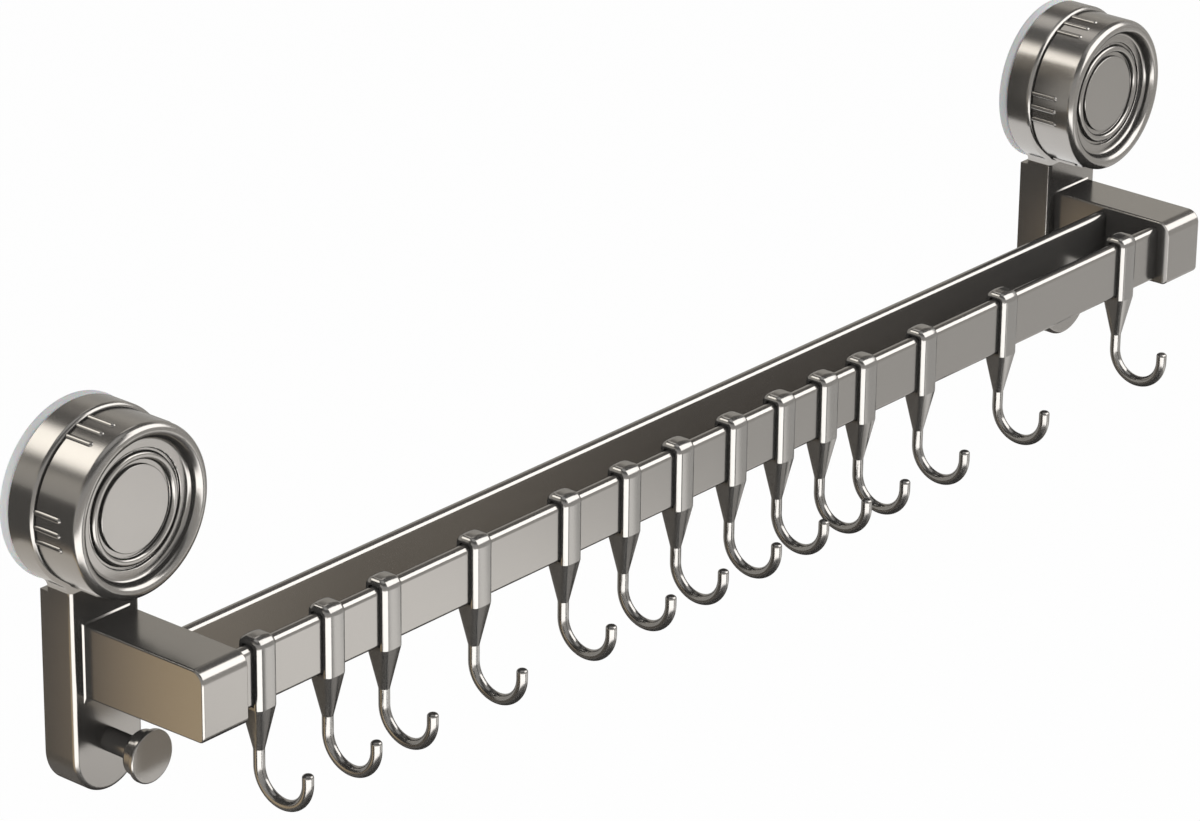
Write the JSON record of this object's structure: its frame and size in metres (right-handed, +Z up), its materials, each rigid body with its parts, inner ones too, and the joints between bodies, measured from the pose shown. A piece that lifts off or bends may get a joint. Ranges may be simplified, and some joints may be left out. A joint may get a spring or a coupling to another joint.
{
  "type": "suction cup towel rack with hooks",
  "caption": "Flat-bar towel rack on twist-lock suction cups, with hooks that slide along the front bar, a rear rail and a side peg.",
  "frame": {"origin": "middle of the left suction pad, on the wall plane", "axes": "+X along the bar towards the right cup, +Y into the wall so that the room is at -Y, +Z up"},
  "size_m": [0.705, 0.1004, 0.1613],
  "materials": {
    "silicone": "soft satin, pale and slightly see-through",
    "gun_grey_metal": "satin anodised, fine brushing",
    "disc_metal": "fine circular satin",
    "hook_metal": "dark polished plating",
    "steel": "bright zinc plated",
    "insert_brass": "machined"
  },
  "bodies": {
    "rack": {"suction_pad_left": "silicone", "backplate_left": "gun_grey_metal", "arm_left": "gun_grey_metal", "arm_screws_left": "steel", "suction_pad_right": "silicone", "backplate_right": "gun_grey_metal", "arm_right": "gun_grey_metal", "arm_screws_right": "steel", "peg": "gun_grey_metal", "peg_screw": "steel", "front_bar": "gun_grey_metal", "rear_rail": "gun_grey_metal"},
    "left_cap": {"twist_cap_left": "gun_grey_metal", "cap_insert_left": "insert_brass", "cap_disc_left": "disc_metal"},
    "left_stud": {"pull_stud_left": "steel"},
    "right_cap": {"twist_cap_right": "gun_grey_metal", "cap_insert_right": "insert_brass", "cap_disc_right": "disc_metal"},
    "right_stud": {"pull_stud_right": "steel"},
    "hook_01": {"hook_01": "hook_metal"},
    "hook_02": {"hook_02": "hook_metal"},
    "hook_03": {"hook_03": "hook_metal"},
    "hook_04": {"hook_04": "hook_metal"},
    "hook_05": {"hook_05": "hook_metal"},
    "hook_06": {"hook_06": "hook_metal"},
    "hook_07": {"hook_07": "hook_metal"},
    "hook_08": {"hook_08": "hook_metal"},
    "hook_09": {"hook_09": "hook_metal"},
    "hook_10": {"hook_10": "hook_metal"},
    "hook_11": {"hook_11": "hook_metal"},
    "hook_12": {"hook_12": "hook_metal"},
    "hook_13": {"hook_13": "hook_metal"},
    "hook_14": {"hook_14": "hook_metal"}
  },
  "joints": [
    {"name": "left_cap_turn", "type": "hinge", "parent": "rack", "child": "left_cap", "pos_m": [0, -0.01755, 0], "axis": [0, -1, 0], "range_deg": [0, 300]},
    {"name": "left_stud_pull", "type": "slide", "parent": "rack", "child": "left_stud", "axis": [0, 1, 0], "range_m": [0, 0.00105], "deforming": ["suction_pad_left"]},
    {"name": "right_cap_turn", "type": "hinge", "parent": "rack", "child": "right_cap", "pos_m": [0.6306, -0.01755, 0], "axis": [0, -1, 0], "range_deg": [0, 300]},
    {"name": "right_stud_pull", "type": "slide", "parent": "rack", "child": "right_stud", "axis": [0, 1, 0], "range_m": [0, 0.00105], "deforming": ["suction_pad_right"]},
    {"name": "hook_01_slide", "type": "slide", "parent": "rack", "child": "hook_01", "axis": [1, 0, 0], "range_m": [-0.00825, 0.01355]},
    {"name": "hook_02_slide", "type": "slide", "parent": "rack", "child": "hook_02", "axis": [1, 0, 0], "range_m": [-0.01355, 0.01055]},
    {"name": "hook_03_slide", "type": "slide", "parent": "rack", "child": "hook_03", "axis": [1, 0, 0], "range_m": [-0.01055, 0.0208]},
    {"name": "hook_04_slide", "type": "slide", "parent": "rack", "child": "hook_04", "axis": [1, 0, 0], "range_m": [-0.0208, 0.0217]},
    {"name": "hook_05_slide", "type": "slide", "parent": "rack", "child": "hook_05", "axis": [1, 0, 0], "range_m": [-0.0217, 0.0132]},
    {"name": "hook_06_slide", "type": "slide", "parent": "rack", "child": "hook_06", "axis": [1, 0, 0], "range_m": [-0.0132, 0.01135]},
    {"name": "hook_07_slide", "type": "slide", "parent": "rack", "child": "hook_07", "axis": [1, 0, 0], "range_m": [-0.01135, 0.01195]},
    {"name": "hook_08_slide", "type": "slide", "parent": "rack", "child": "hook_08", "axis": [1, 0, 0], "range_m": [-0.01195, 0.0104]},
    {"name": "hook_09_slide", "type": "slide", "parent": "rack", "child": "hook_09", "axis": [1, 0, 0], "range_m": [-0.0104, 0.0091]},
    {"name": "hook_10_slide", "type": "slide", "parent": "rack", "child": "hook_10", "axis": [1, 0, 0], "range_m": [-0.0091, 0.0078]},
    {"name": "hook_11_slide", "type": "slide", "parent": "rack", "child": "hook_11", "axis": [1, 0, 0], "range_m": [-0.0078, 0.0157]},
    {"name": "hook_12_slide", "type": "slide", "parent": "rack", "child": "hook_12", "axis": [1, 0, 0], "range_m": [-0.0157, 0.0239]},
    {"name": "hook_13_slide", "type": "slide", "parent": "rack", "child": "hook_13", "axis": [1, 0, 0], "range_m": [-0.0239, 0.03975]},
    {"name": "hook_14_slide", "type": "slide", "parent": "rack", "child": "hook_14", "axis": [1, 0, 0], "range_m": [-0.03975, 0.02005]}
  ],
  "couplings": [
    {"joint": "left_stud_pull", "follows": "left_cap_turn", "m_per_rad": 0.00019894},
    {"joint": "right_stud_pull", "follows": "right_cap_turn", "m_per_rad": 0.00019894}
  ]
}
